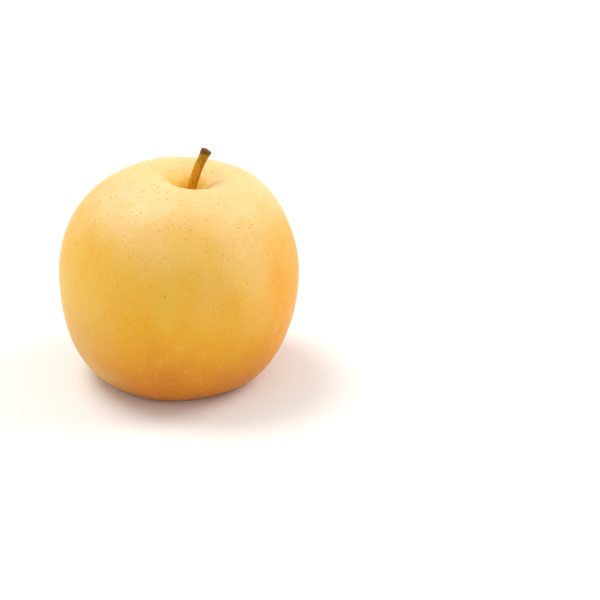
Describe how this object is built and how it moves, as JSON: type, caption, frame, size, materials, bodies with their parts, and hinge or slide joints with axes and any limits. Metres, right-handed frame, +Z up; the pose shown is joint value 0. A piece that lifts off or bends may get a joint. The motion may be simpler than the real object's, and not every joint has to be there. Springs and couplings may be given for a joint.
{
  "type": "asian pear",
  "caption": "Whole round golden Asian pear with a short leaning woody stem, resting upright on its base.",
  "frame": {"origin": "on the surface the pear stands on, in the middle of the fruit's outline", "axes": "+Z up from the base towards the stem, +X to the right seen from the front, the way the stem leans, +Y to the back"},
  "size_m": [0.0856, 0.0856, 0.0851],
  "materials": {
    "skin": "satin waxy fruit skin with fine brown lenticels",
    "bark": "rough dry bark with a dark cut end",
    "dry_calyx": "dry, brown and papery"
  },
  "bodies": {
    "root": {"fruit": "skin", "stem": "bark", "calyx": "dry_calyx"}
  },
  "joints": []
}
